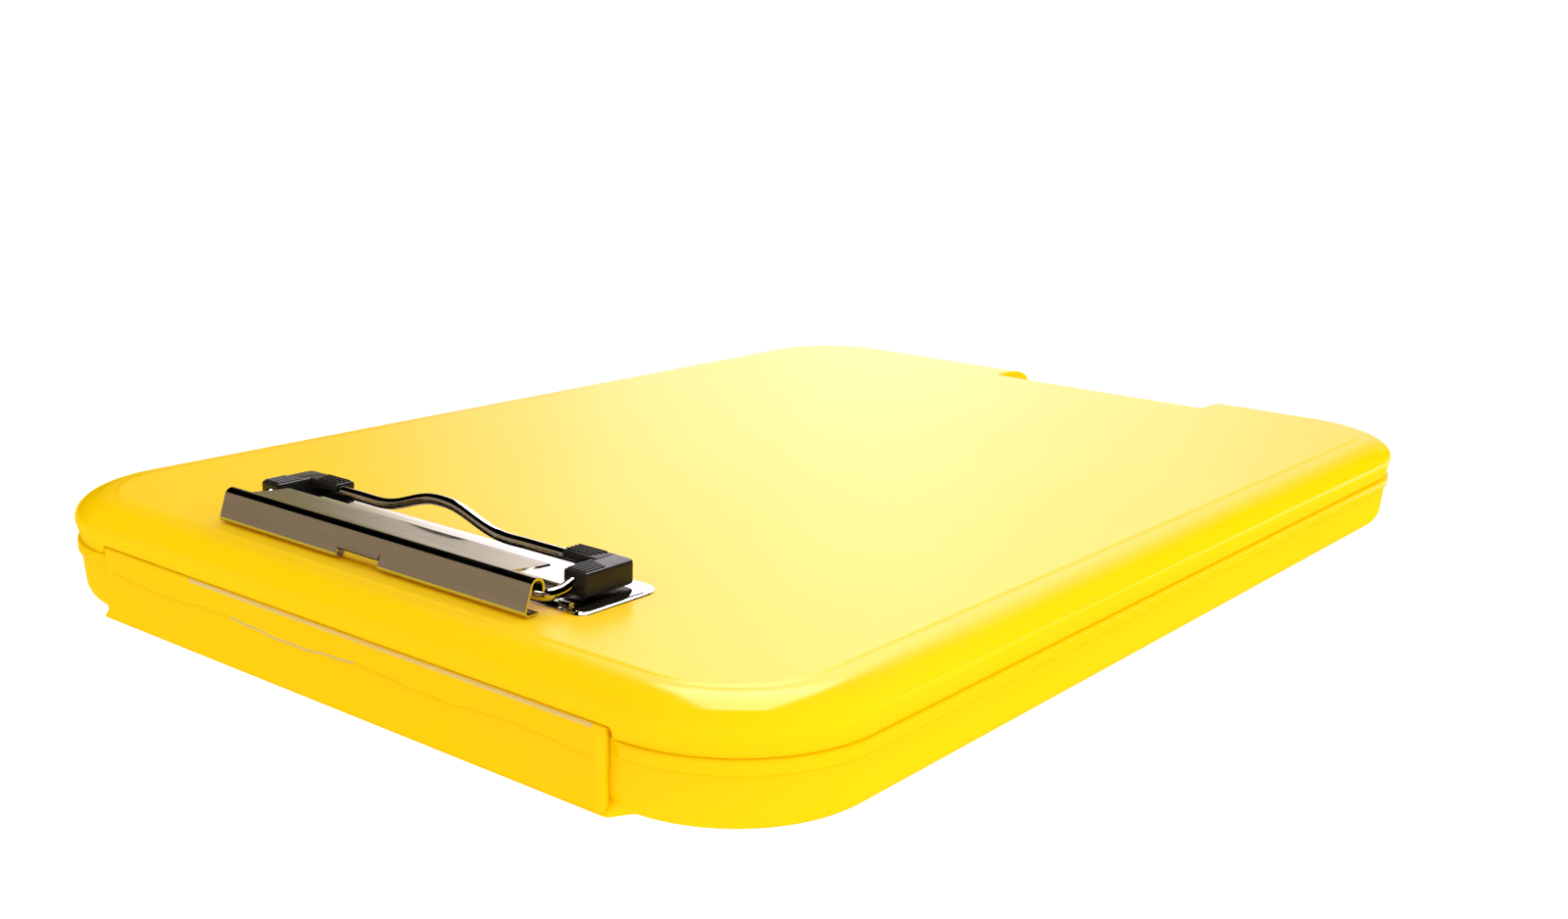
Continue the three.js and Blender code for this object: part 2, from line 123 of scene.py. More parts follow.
CAMERA_AZIMUTH = math.radians(37.16)
CAMERA_ELEVATION = math.radians(13.46)
CAMERA_ROLL = math.radians(1.77)
CAMERA_PLACE = Vector((0.3067, -0.3979, 0.1485))
CAMERA_LENS = 39.61
CAMERA_SHIFT = (-0.0219, -0.0049)


def make_camera():
    """A camera off the corner of the hinge end, a little above the case and slightly rolled."""
    data = bpy.data.cameras.new("camera")
    data.lens = CAMERA_LENS
    data.sensor_width = 36
    data.shift_x, data.shift_y = CAMERA_SHIFT
    data.clip_start, data.clip_end = 0.01, 30
    level = math.cos(CAMERA_ELEVATION)
    forward = Vector((-math.sin(CAMERA_AZIMUTH) * level, math.cos(CAMERA_AZIMUTH) * level,
                      -math.sin(CAMERA_ELEVATION)))
    right = Vector((math.cos(CAMERA_AZIMUTH), math.sin(CAMERA_AZIMUTH), 0))
    up = right.cross(forward)
    rolled_right = right * math.cos(CAMERA_ROLL) + up * math.sin(CAMERA_ROLL)
    rolled_up = up * math.cos(CAMERA_ROLL) - right * math.sin(CAMERA_ROLL)
    turn = Matrix((rolled_right, rolled_up, -forward)).transposed()
    camera = bpy.data.objects.new("camera", data)
    camera.matrix_world = Matrix.Translation(CAMERA_PLACE) @ turn.to_4x4()
    bpy.context.collection.objects.link(camera)
    bpy.context.scene.camera = camera


make_camera()

# ---------------------------------------------------------------- studio

FLOOR_DROP = 0.055                 # room for the lid when it is laid right over
WORLD_LEVEL = 1.35
WORLD_LEAN = (0.50, 0.42, 0.25)
BACKDROP_STRENGTH = 3.0
BACKDROP_STOPS = (
    (0.0, (0.45, 0.38, 0.17)), (0.17, (0.55, 0.48, 0.28)), (0.27, (1.3, 1.2, 1.2)),
    (0.35, (2.3, 2.1, 2.2)), (0.45, (2.8, 2.6, 2.8)), (0.53, (2.1, 2.0, 2.1)),
    (0.6, (1.3, 1.25, 1.2)), (0.67, (0.6, 0.55, 0.3)), (0.74, (0.1, 0.1, 0.0)),
    (0.95, (0.0, 0.0, 0.0)),
)


def emission_material(name, colour, strength):
    material = bpy.data.materials.new(name)
    material.use_nodes = True
    nodes = material.node_tree.nodes
    nodes.clear()
    glow = nodes.new("ShaderNodeEmission")
    glow.inputs["Color"].default_value = (*colour, 1)
    glow.inputs["Strength"].default_value = strength
    output = nodes.new("ShaderNodeOutputMaterial")
    material.node_tree.links.new(glow.outputs[0], output.inputs["Surface"])
    return material


def stage_card(name, centre, facing, width, height, material, camera=False, diffuse=True):
    """A flat card of the studio, facing a direction, hidden from the camera unless asked."""
    data = bpy.data.meshes.new(name)
    half_w, half_h = width / 2, height / 2
    corners = [(-half_w, -half_h, 0), (half_w, -half_h, 0), (half_w, half_h, 0), (-half_w, half_h, 0)]
    data.from_pydata(corners, [], [(0, 1, 2, 3)])
    data.materials.append(material)
    card = bpy.data.objects.new(name, data)
    card.location = centre
    card.rotation_mode = "QUATERNION"
    card.rotation_quaternion = Vector(facing).to_track_quat("Z", "Y")
    card.visible_camera = camera
    card.visible_diffuse = diffuse
    card.visible_shadow = False
    bpy.context.collection.objects.link(card)
    return card


def graded_card(name, stops):
    """A glow that changes along a card's width: stops are shares of the width with a colour."""
    material = emission_material(name, (1, 1, 1), BACKDROP_STRENGTH)
    tree = material.node_tree
    place = tree.nodes.new("ShaderNodeTexCoord").outputs["Generated"]
    parts = tree.nodes.new("ShaderNodeSeparateXYZ")
    ramp = tree.nodes.new("ShaderNodeValToRGB")
    ramp.color_ramp.interpolation = "EASE"
    elements = ramp.color_ramp.elements
    for i, (share, colour) in enumerate(stops):
        element = elements[i] if i < 2 else elements.new(share)
        element.position = share
        element.color = (*[channel / BACKDROP_STRENGTH for channel in colour], 1)
    glow = next(node for node in tree.nodes if node.type == "EMISSION")
    tree.links.new(place, parts.inputs[0])
    tree.links.new(parts.outputs["X"], ramp.inputs["Fac"])
    tree.links.new(ramp.outputs["Color"], glow.inputs["Color"])
    return material


def make_world():
    """Soft white light from all round, stronger from the right and the back."""
    world = bpy.data.worlds.new("studio")
    bpy.context.scene.world = world
    world.use_nodes = True
    world.cycles_visibility.glossy = False
    tree = world.node_tree
    background = tree.nodes["Background"]
    background.inputs["Color"].default_value = (1, 1, 1, 1)
    direction = tree.nodes.new("ShaderNodeTexCoord").outputs["Generated"]
    lean = tree.nodes.new("ShaderNodeVectorMath")
    lean.operation = "DOT_PRODUCT"
    lean.inputs[1].default_value = WORLD_LEAN
    tree.links.new(direction, lean.inputs[0])
    level = tree.nodes.new("ShaderNodeMath")
    level.operation = "ADD"
    level.inputs[1].default_value = WORLD_LEVEL
    tree.links.new(lean.outputs["Value"], level.inputs[0])
    tree.links.new(level.outputs[0], background.inputs["Strength"])


def make_studio():
    """A glowing white floor, and cards that show only in what the case and the steel reflect."""
    bpy.context.scene.view_settings.view_transform = "Standard"
    make_world()

    floor = bpy.data.materials.new("floor")
    floor.use_nodes = True
    shader = floor.node_tree.nodes["Principled BSDF"]
    shader.inputs["Base Color"].default_value = (0.3, 0.3, 0.3, 1)
    shader.inputs["Roughness"].default_value = 0.9
    shader.inputs["Specular IOR Level"].default_value = 0.0
    shader.inputs["Emission Color"].default_value = (1, 1, 1, 1)
    shader.inputs["Emission Strength"].default_value = 1.0
    ground = cad_low[2] - FLOOR_DROP
    stage = stage_card("floor", (0, 0, ground), (0, 0, 1), 14, 14, floor, camera=True)
    stage.visible_glossy = False
    bounce = emission_material("bounce_card", (1.0, 0.86, 0.06), 1.0)
    stage_card("bounce", (0, 0, ground - 0.01), (0, 0, 1), 8, 8, bounce, diffuse=False)

    sheen = emission_material("sheen_card", (1, 1, 1), 1.2)
    stage_card("sheen", (0.55, 0.85, ground + 0.002), (0, 0, 1), 1.0, 0.9, sheen, diffuse=False)

    backdrop = graded_card("backdrop_card", BACKDROP_STOPS)
    stage_card("backdrop", (-1.2, 2.2, 0.65), (0, -1, 0), 6, 2.2, backdrop, diffuse=False)
    overhead = emission_material("overhead_card", (1, 1, 1), 7.0)
    stage_card("overhead", (-0.38, 0.49, 1.39), (0.3, -0.4, -0.87), 0.62, 1.5, overhead,
               diffuse=False)
    front = emission_material("front_card", (0.32, 0.25, 0.18), 1.0)
    stage_card("front", (-0.4, -2.2, 0.6), (0.1, 1, -0.1), 6, 2.0, front, diffuse=False)


make_studio()

# ---------------------------------------------------------------- materials


class Nodes:
    """A small helper around a material's node tree."""

    def __init__(self, name):
        self.material = bpy.data.materials.new(name)
        self.material.use_nodes = True
        self.tree = self.material.node_tree
        self.shader = self.tree.nodes["Principled BSDF"]
        self.output = self.tree.nodes["Material Output"]
        self.place = self.tree.nodes.new("ShaderNodeTexCoord").outputs["Object"]

    def add(self, kind, links=()):
        """A new node, with its sockets linked to other nodes' outputs."""
        node = self.tree.nodes.new("ShaderNode" + kind)
        for socket, source in links:
            self.tree.links.new(source, node.inputs[socket])
        return node

    def link(self, source, target):
        self.tree.links.new(source, target)

    def stretched(self, scale):
        mapping = self.add("Mapping", [("Vector", self.place)])
        mapping.inputs["Scale"].default_value = scale
        return mapping.outputs[0]

    def noise(self, scale, detail=3.0, vector=None):
        node = self.add("TexNoise", [("Vector", vector or self.place)])
        node.inputs["Scale"].default_value = scale
        node.inputs["Detail"].default_value = detail
        return node.outputs["Fac"]

    def spread(self, value, low, high, start=0.3, end=0.7):
        node = self.add("MapRange", [("Value", value)])
        node.inputs["From Min"].default_value = start
        node.inputs["From Max"].default_value = end
        node.inputs["To Min"].default_value = low
        node.inputs["To Max"].default_value = high
        return node.outputs["Result"]

    def mix(self, factor, first, second):
        """Mixes two colours, each given as a colour or as another node's output."""
        node = self.tree.nodes.new("ShaderNodeMix")
        node.data_type = "RGBA"
        self.link(factor, node.inputs["Factor"])
        for socket, colour in ((node.inputs[6], first), (node.inputs[7], second)):
            if isinstance(colour, tuple):
                socket.default_value = (*colour, 1)
            else:
                self.link(colour, socket)
        return node.outputs[2]

    def blend(self, factor, first, second):
        """Mixes two numbers given as node outputs."""
        node = self.add("Mix", [("Factor", factor)])
        self.link(first, node.inputs[2])
        self.link(second, node.inputs[3])
        return node.outputs[0]

    def height(self, low, high):
        """0 below one height of the shared frame and 1 above another."""
        parts = self.add("SeparateXYZ", [("Vector", self.place)])
        return self.spread(parts.outputs["Z"], 0, 1, low, high)

    def bump(self, height, strength, distance):
        node = self.add("Bump", [("Height", height)])
        node.inputs["Strength"].default_value = strength
        node.inputs["Distance"].default_value = distance
        self.link(node.outputs["Normal"], self.shader.inputs["Normal"])


def case_plastic(name, warm, cool, lit_frosted_top=False):
    """Translucent yellow polypropylene; with lit_frosted_top set, the flat top is finely grained and
    rougher, and painted a lighter yellow for the light it catches.
    """
    nodes = Nodes(name)
    shader = nodes.shader
    colour = nodes.mix(nodes.spread(nodes.noise(9, 4), 0, 1), warm, cool)
    rough = nodes.spread(nodes.noise(35, 5), 0.11, 0.17)
    grain = nodes.noise(420, 2)
    if lit_frosted_top:
        flat = nodes.height(FLAT_TOP_START, FLAT_TOP_END)
        rough = nodes.blend(flat, rough, nodes.spread(nodes.noise(24, 1), 0.25, 0.27))
        # painted light: the flat top is painted a lighter yellow
        colour = nodes.mix(flat, colour, TOP_LIGHT_COLOUR)
    nodes.link(colour, shader.inputs["Base Color"])
    nodes.link(rough, shader.inputs["Roughness"])
    shader.inputs["IOR"].default_value = 1.49
    through = nodes.add("BsdfTranslucent")
    nodes.link(colour, through.inputs["Color"])
    blend = nodes.add("MixShader")
    blend.inputs["Fac"].default_value = 0.4
    nodes.link(shader.outputs[0], blend.inputs[1])
    nodes.link(through.outputs[0], blend.inputs[2])
    nodes.link(blend.outputs[0], nodes.output.inputs["Surface"])
    nodes.bump(grain, 0.03 if lit_frosted_top else 0.015, 0.0001)
    return nodes.material


def plated_steel(name, colour, low, high, edge=(1.0, 1.0, 1.0)):
    """Bright plated steel with faint drawing lines along its length."""
    nodes = Nodes(name)
    shader = nodes.shader
    shader.inputs["Specular Tint"].default_value = (*edge, 1)
    shader.inputs["Metallic"].default_value = 1.0
    lines = nodes.noise(60, 4, nodes.stretched((0.5, 12, 12)))
    darker = tuple(0.9 * c for c in colour)
    nodes.link(nodes.mix(nodes.spread(lines, 0, 1), colour, darker), shader.inputs["Base Color"])
    nodes.link(nodes.spread(nodes.noise(220, 4), low, high), shader.inputs["Roughness"])
    nodes.bump(lines, 0.03, 0.0001)
    return nodes.material


def black_rubber():
    """Matt black rubber with a fine grain."""
    nodes = Nodes("grip_rubber")
    shader = nodes.shader
    cloud = nodes.noise(400, 4)
    nodes.link(nodes.mix(nodes.spread(cloud, 0, 1), (0.006, 0.005, 0.004), (0.012, 0.010, 0.008)),
               shader.inputs["Base Color"])
    nodes.link(nodes.spread(nodes.noise(900, 3), 0.30, 0.42), shader.inputs["Roughness"])
    shader.inputs["Specular IOR Level"].default_value = 0.35
    nodes.bump(nodes.noise(1500, 2), 0.08, 0.0001)
    return nodes.material


FLAT_TOP_START = (TOP - 0.9) * MM
FLAT_TOP_END = (TOP - 0.02) * MM
# The lid's plastic is painted a little lighter than the base's, and its flat top lighter still, for
# the light the top catches.
TOP_LIGHT_COLOUR = (1.0, 0.765, 0.01)
LIT_FROSTED = case_plastic("lit_frosted_plastic", (1.0, 0.755, 0.0), (1.0, 0.73, 0.0), lit_frosted_top=True)
GLOSSY = case_plastic("glossy_plastic", (1.0, 0.735, 0.0), (1.0, 0.705, 0.0))
# a pale copy of the plastic: the painted highlight on the lid's lower edge
EDGE_HIGHLIGHT = case_plastic("edge_highlight_plastic", (1.0, 0.95, 0.55), (1.0, 0.90, 0.40))
# pale plastic: stress-whitened wear on the spine's crease, and a painted highlight along its head
WORN_AND_HIGHLIGHT = case_plastic("worn_and_highlight_plastic", (0.80, 0.66, 0.26), (0.86, 0.62, 0.12))
WIRE = plated_steel("wire_chrome", (0.70, 0.66, 0.60), 0.05, 0.11)
CHROME = plated_steel("clip_chrome", (0.80, 0.78, 0.74), 0.03, 0.09)
STEEL = plated_steel("clip_steel", (0.70, 0.645, 0.54), 0.10, 0.16, (0.46, 0.46, 0.44))
RUBBER = black_rubber()

# ---------------------------------------------------------------- mesh helpers


def make_piece(name, points, faces, materials, sharp=40):
    """A mesh piece from points in millimetres, smooth except at edges sharper than the angle."""
    data = bpy.data.meshes.new(name)
    data.from_pydata([Vector(p) * MM for p in points], [], faces)
    for material in materials:
        data.materials.append(material)
    shape = bmesh.new()
    shape.from_mesh(data)
    bmesh.ops.remove_doubles(shape, verts=shape.verts, dist=1e-7)
    bmesh.ops.dissolve_degenerate(shape, edges=shape.edges, dist=1e-7)
    bmesh.ops.recalc_face_normals(shape, faces=shape.faces)
    shape.to_mesh(data)
    shape.free()
    data.shade_smooth()
    data.set_sharp_from_angle(angle=math.radians(sharp))
    piece = bpy.data.objects.new(name, data)
    bpy.context.collection.objects.link(piece)
    return piece


def finish_piece(piece, body, slot, *nodes):
    """Puts a piece on its body in place of CAD nodes; the slot argument is not used."""
    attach(piece, body)
    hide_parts(*nodes)


def smooth(value):
    """A soft step from 0 to 1."""
    value = min(max(value, 0.0), 1.0)
    return value * value * (3 - 2 * value)


def mixed(low, high, share):
    """A value the given share of the way from one number to another."""
    return low + (high - low) * share


def mirrored(values):
    """A list of positive stations and their mirror images, in rising order."""
    return [-v for v in sorted(values, reverse=True)] + sorted(values)


def stations(*edges):
    """Stations along half a side: even ones, and close ones about each edge given."""
    close = [edge + step for edge in edges for step in (-0.6, -0.2, 0.2, 0.6, 1, 2, 3)]
    return [v for v in [5, 15, 25, 35, 50, 65, 80] if all(abs(v - e) > 3 for e in edges)] + close


STRAIGHT_HALF = 89.5               # half the straight stretch across both ends of the case
NEAR_X = mirrored([v for v in stations(SPINE_REACH) if v < STRAIGHT_HALF])
FAR_X = [LATCH_CENTRE + v for v in mirrored(stations(LATCH_HALF, LATCH_HALF + 2.2))
         if abs(LATCH_CENTRE + v) < STRAIGHT_HALF]
SIDE_Y = [-132, -130, -128, -127, -126, -125] + [18.0 * i - 108 for i in range(14)]


def ring(z, side, near=None, far=None, radius=None):
    """A rounded rectangle round the case at one height, counter-clockwise from above."""
    near = side if near is None else near
    far = side if far is None else far
    radius = radius or max(CORNER_RADIUS - (side + near + far) / 3, 2)
    x = SIDE - side - radius
    low = -END + near + radius
    high = END - far - radius
    points = []

    def corner(cx, cy, start):
        for i in range(CORNER_STEPS + 1):
            angle = math.radians(start + 90 * i / CORNER_STEPS)
            points.append((cx + radius * math.cos(angle), cy + radius * math.sin(angle), z))

    points.extend((v, -END + near, z) for v in NEAR_X)
    corner(x, low, -90)
    points.extend((SIDE - side, v, z) for v in SIDE_Y)
    corner(x, high, 0)
    points.extend((v, END - far, z) for v in reversed(FAR_X))
    corner(-x, high, 90)
    points.extend((-SIDE + side, v, z) for v in reversed(SIDE_Y))
    corner(-x, low, 180)
    return points


def loft(rings):
    """Faces between rings of equal length, capped at both ends."""
    count = len(rings[0])
    points = [p for r in rings for p in r]
    faces = []
    for r in range(len(rings) - 1):
        for i in range(count):
            j = (i + 1) % count
            faces.append((r * count + i, r * count + j, (r + 1) * count + j, (r + 1) * count + i))
    faces.append(tuple(reversed(range(count))))
    last = (len(rings) - 1) * count
    faces.append(tuple(range(last, last + count)))
    return points, faces


# ---------------------------------------------------------------- case


def shaped(rings, rule):
    """Applies a rule to every point of the rings: it may move the point."""
    return [[rule(*point) for point in one] for one in rings]


def spine_share(x):
    """1 in front of the spine panel, falling to 0 a few millimetres beyond its end."""
    return 1 - smooth((abs(x) - SPINE_REACH) / 4.5)


def latch_share(x, reach):
    """1 within reach of the latch's middle, falling to 0 just beyond."""
    return 1 - smooth((abs(x - LATCH_CENTRE) - reach) / 0.8)


def base_outside(x, y, z):
    """Sets the walls back behind the hinge panel and behind the latch tongue."""
    if y < -END + 8:
        target = -END + min(z, 1.8)
        if y > target or z > 1.8:
            y = mixed(y, target if z < 1.8 else max(y, SPINE_WALL), spine_share(x))
    if y > LATCH_WALL and 4.4 < z:
        y = mixed(y, LATCH_WALL, latch_share(x, LATCH_REACH))
    return x, y, z


def base_inside(x, y, z):
    """Follows the set-back walls inside, and drops the lip at the hinge and at the latch."""
    if y < SPINE_WALL + WALL:
        y = mixed(y, SPINE_WALL + WALL, spine_share(x))
    if y > LATCH_WALL - WALL:
        y = mixed(y, LATCH_WALL - WALL, latch_share(x, LATCH_REACH + WALL))
    hinge_end = 1 - smooth((y + 130) / 3)
    latch_end = latch_share(x, LATCH_REACH + 4) if y > 150 else 0
    if z > PARTING:
        z = mixed(z, PARTING, max(hinge_end, latch_end))
    return x, y, z


def make_base():
    """The base: round bottom edge, a rim bead and a locating lip, lofted out, up and back in."""
    bottom = []
    for i in range(9):
        angle = math.pi / 2 * i / 8
        bottom.append(ring(5.5 * (1 - math.cos(angle)), 6 - 4.2 * math.sin(angle)))
    outside = [ring(0, 9), *bottom, ring(6.5, 1.7), ring(9, 1.45),
               ring(12.4, 1.2), ring(12.7, 1.05), ring(13.0, 0.6), ring(13.3, 0.35),
               ring(13.7, 0.3), ring(15.2, 0.3), ring(15.7, 0.36), ring(15.95, 0.5),
               ring(16.12, 0.75), ring(RIM, 1.0)]
    inside = [ring(RIM, 3.2), ring(RIM + 0.1, 3.45), ring(LIP_TOP - 0.3, 3.6),
              ring(LIP_TOP, 3.9), ring(LIP_TOP, 4.4), ring(LIP_TOP - 0.3, 4.7),
              ring(PARTING, 4.7), ring(15.2, 4.5), ring(14.4, 3.4), ring(14, 2.9),
              ring(8, 3.3), ring(5, 3.8), ring(3.4, 4.6), ring(2.4, 5.8), ring(1.9, 7.2),
              ring(WALL, 9), ring(WALL, 14)]
    rings = shaped(outside, base_outside) + shaped(inside, base_inside)
    points, faces = loft(rings)
    piece = make_piece("base_tray_shell", points, faces, [GLOSSY])
    finish_piece(piece, "base", "case_plastic", "base_tray")


def bevel_ring(share, z):
    """A ring a share of the way in across the lid's bevels."""
    return ring(z, *(share * width for width in BEVEL))


def inner_ring(z, extra):
    """A ring inside the bevel that runs well ahead at the latch end, behind the pocket."""
    inset = 0.08 * extra
    side, near, far = (width + inset for width in BEVEL)
    radius = CORNER_RADIUS - sum(BEVEL) / 3 - inset
    return ring(z, side, near, far + extra - inset, radius)


def pocket_share(x, y):
    """1 inside the thumb pocket over the latch, falling to 0 across its walls."""
    across = 1 - smooth((abs(x - LATCH_CENTRE) - LATCH_HALF + 0.9) / 1.2)
    along = smooth((y - POCKET_BACK + 0.2) / 1.2)
    return across * along


def lid_outside(x, y, z):
    """Cuts the skirt over the hinge panel, and sinks the pocket and the latch's recess."""
    if y < -END + 4 and z < SPINE_TOP + GAP:
        z = mixed(z, SPINE_TOP + GAP, 1 - smooth((abs(x) - SPINE_REACH) / 1.2))
    if y > POCKET_BACK - 4 and z > POCKET_FLOOR:
        z = mixed(z, POCKET_FLOOR, pocket_share(x, y))
    if y > LATCH_WALL and z < LATCH_HEAD + 0.01:
        y = mixed(y, LATCH_WALL, latch_share(x, LATCH_REACH))
    return x, y, z


def lid_inside(x, y, z):
    """The same cuts on the inner face, one wall's thickness in."""
    if y < -END + 5 and z < SPINE_TOP + GAP:
        z = mixed(z, SPINE_TOP + GAP, 1 - smooth((abs(x) - SPINE_REACH) / 1.2))
    roof = POCKET_FLOOR - WALL
    if y > POCKET_BACK - WALL - 4 and z > roof:
        across = 1 - smooth((abs(x - LATCH_CENTRE) - LATCH_HALF - WALL) / 0.8)
        along = smooth((y - POCKET_BACK + WALL + 0.6) / 1)
        z = mixed(z, roof, across * along)
    if y > LATCH_WALL - WALL:
        y = mixed(y, LATCH_WALL - WALL, latch_share(x, LATCH_REACH + WALL))
    return x, y, z


def lid_rib(x, y, z):
    """Hangs the rib's two edges down at the hinge end and leaves them in the roof elsewhere."""
    x, y, z = lid_inside(x, y, z)
    return x, y, mixed(z, PARTING + GAP, 1 - smooth((y + 127) / 1.5))


# A painted highlight runs along the lid's lower edge, round the near corners only: a pale line where
# the edge catches light.
HIGHLIGHT_START = 98.0                 # distance from the middle where it may start
HIGHLIGHT_REACH = 26.0                 # distance from the hinge end where it stops
HIGHLIGHT_OUT = 250.0                  # x and y together reach this on the corner's outer face
HIGHLIGHT_HEIGHT = 0.12


def make_lid():
    """The lid: a flat top inside soft bevels and an upright skirt, lofted from the roof round."""
    rib_inner = RIB_INSET + RIB_THICKNESS
    roof = [inner_ring(TOP - WALL, extra) for extra in (12.4, 11.6, 11, 10.4)]
    roof += [bevel_ring(1.04, TOP - WALL), ring(25.2, 9), ring(24.4, rib_inner + 0.05)]
    rib = [ring(24.35, rib_inner), ring(24.1, rib_inner - 0.2), ring(23.9, RIB_INSET + 0.2),
           ring(23.85, RIB_INSET)]
    inside = [
        ring(23.8, RIB_INSET - 0.05), ring(23.4, 4.2), ring(22.2, 2.9), ring(21, 2.3),
        ring(20.6, 2.2), ring(LATCH_HEAD, 2.2), ring(19, 2.35), ring(17.6, 2.6),
        ring(16.6, 3.0), ring(PARTING + GAP, 2.9),
    ]
    skirt = [
        ring(PARTING + GAP, 1.3), ring(16.4, 1.12), ring(16.7, 1.02), ring(17.4, 0.9),
        ring(18.2, 0.72), ring(18.8, 0.55), ring(19.6, 0.36), ring(LATCH_HEAD, 0.2),
        ring(LATCH_HEAD + 0.1, 0.18), ring(20.75, 0.16), ring(20.9, 0.02), ring(SHOULDER, 0),
    ]
    crown = []
    rise = TOP - SHOULDER - 0.25
    for i in range(1, CROWN_STEPS + 1):
        angle = math.pi / 2 * i / CROWN_STEPS
        share = 1 - math.cos(angle)
        crown.append(bevel_ring(share * 0.93, SHOULDER + rise * math.sin(angle) ** 0.9))
    flat = [bevel_ring(0.97, TOP - 0.1), bevel_ring(1, TOP), bevel_ring(1.03, TOP)]
    flat += [inner_ring(TOP, extra) for extra in (7.6, 7.9, 8.2, 8.5, 8.8, 9.1, 9.6, 11)]
    rings = shaped(roof, lid_inside) + shaped(rib, lid_rib) + shaped(inside, lid_inside)
    rings += shaped(skirt + crown + flat, lid_outside)
    points, faces = loft(rings)
    piece = make_piece("lid_shell", points, faces, [LIT_FROSTED, EDGE_HIGHLIGHT])
    # low faces on the outer face of the near corners get the painted edge highlight
    for face in piece.data.polygons:
        middle = face.center / MM
        round_corner = abs(middle.x) > HIGHLIGHT_START and middle.y < -END + HIGHLIGHT_REACH
        if round_corner and middle.z < PARTING + GAP + HIGHLIGHT_HEIGHT and face.normal.z < 0.9:
            out = abs(middle.x) + abs(middle.y)
            face.material_index = 1 if out > HIGHLIGHT_OUT else 0
    finish_piece(piece, "lid", "case_plastic", "lid")


# ---------------------------------------------------------------- spine and latch

SPINE_STEPS = 120
SPINE_CREASE = 11.95               # height of the worn crease along the panel
CREASE_WAVES = ((0.5, 0.126, 6.2), (0.12, 0.53, 1.0), (0.06, 1.7, 0.0))  # size, pace, lead
CREASE_WORN = (-34, 12)            # stretches along X that are worn pale
# stretch along X where the head is painted pale, a painted highlight on its top edge
HEAD_HIGHLIGHT = (-50, 85.5)


def make_spine():
    """The hinge panel: a moulded strip with rounded ends, a beaded head painted pale as a highlight,
    and a worn crease.
    """
    half = spine_high.x
    outer, inner = spine_low.y, spine_high.y
    foot = spine_low.z
    rings = []
    for i in range(SPINE_STEPS + 1):
        x = half * (i / SPINE_STEPS * 2 - 1)
        from_end = half - abs(x)
        inset = 0.6 * (1 - math.sqrt(max(1 - (1 - min(from_end / 1.4, 1)) ** 2, 0)))
        crease = SPINE_CREASE + sum(size * math.sin(pace * x + lead)
                                    for size, pace, lead in CREASE_WAVES)
        face = outer + 0.16 + inset
        trough = 0.16 * smooth(from_end / 4)
        top = SPINE_TOP - 0.5 * inset
        rings.append([
            (x, outer + inset, foot), (x, outer + inset, foot + 0.5), (x, face, foot + 1.4),
            (x, face - 0.08, 6), (x, face - 0.05, crease - 0.35), (x, face + trough, crease),
            (x, face - 0.05, crease + 0.3), (x, face - 0.08, crease + 1.4),
            (x, face, top - 2.2), (x, face + 0.1, top - 1.4), (x, face - 0.12, top - 0.9),
            (x, outer + inset, top - 0.5), (x, outer + 0.12 + inset, top - 0.15),
            (x, outer + 0.35 + inset, top), (x, inner - 0.2, top), (x, inner, top - 0.2),
            (x, inner, foot + inner - outer),
        ])
    points, faces = loft(rings)
    piece = make_piece("hinge_spine_panel", points, faces, [GLOSSY, WORN_AND_HIGHLIGHT], sharp=50)
    for face in piece.data.polygons:
        middle = face.center / MM
        on_crease = abs(middle.z - SPINE_CREASE) < 1 and face.area < 1.2 * MM * MM
        if CREASE_WORN[0] < middle.x < CREASE_WORN[1] and on_crease and middle.y < outer + 0.5:
            face.material_index = 1
        # the pale band on the head is a painted highlight; the crease above is real stress-whitening
        on_head = middle.z > SPINE_TOP - 0.72 and middle.y < outer + 0.3
        if HEAD_HIGHLIGHT[0] < middle.x < HEAD_HIGHLIGHT[1] and on_head:
            face.material_index = 1
    finish_piece(piece, "spine", "case_plastic", "hinge_spine")


LATCH_STEPS = 60
LATCH_CORNER = 3                   # radius of the tongue's lower corners


def make_latch():
    """The latch tongue: rounded corners, a hooked back and a row of grip lines."""
    outer, inner = latch_high.y - 0.1, latch_high.y - 1.3
    foot, head = latch_low.z, latch_high.z
    rings = []
    for i in range(LATCH_STEPS + 1):
        from_centre = LATCH_HALF * (i / LATCH_STEPS * 2 - 1)
        x = LATCH_CENTRE + from_centre
        corner = max(abs(from_centre) - LATCH_HALF + LATCH_CORNER, 0)
        lift = LATCH_CORNER - math.sqrt(max(LATCH_CORNER ** 2 - corner ** 2, 0))
        low = foot + lift
        rows = [(outer - 0.25, low), (outer + 0.1, low + 0.35)]
        for k in range(4):
            rise = foot + 3.4 + 1.6 * k
            rows += [(outer, rise), (outer - 0.25, rise + 0.35), (outer - 0.25, rise + 0.6),
                     (outer, rise + 0.95)]
        rows += [(outer, head - 0.4), (outer - 0.4, head), (inner, head), (inner, 7.4),
                 (inner - 0.6, 7.2), (inner - 0.6, 6.4), (inner, 5.9 if lift < 0.8 else low + 0.1),
                 (inner, low)]
        rings.append([(x, y, max(z, low)) for y, z in rows])
    points, faces = loft(rings)
    piece = make_piece("latch_tongue_plate", points, faces, [GLOSSY], sharp=50)
    finish_piece(piece, "latch", "case_plastic", "latch_tongue")


# ---------------------------------------------------------------- clip


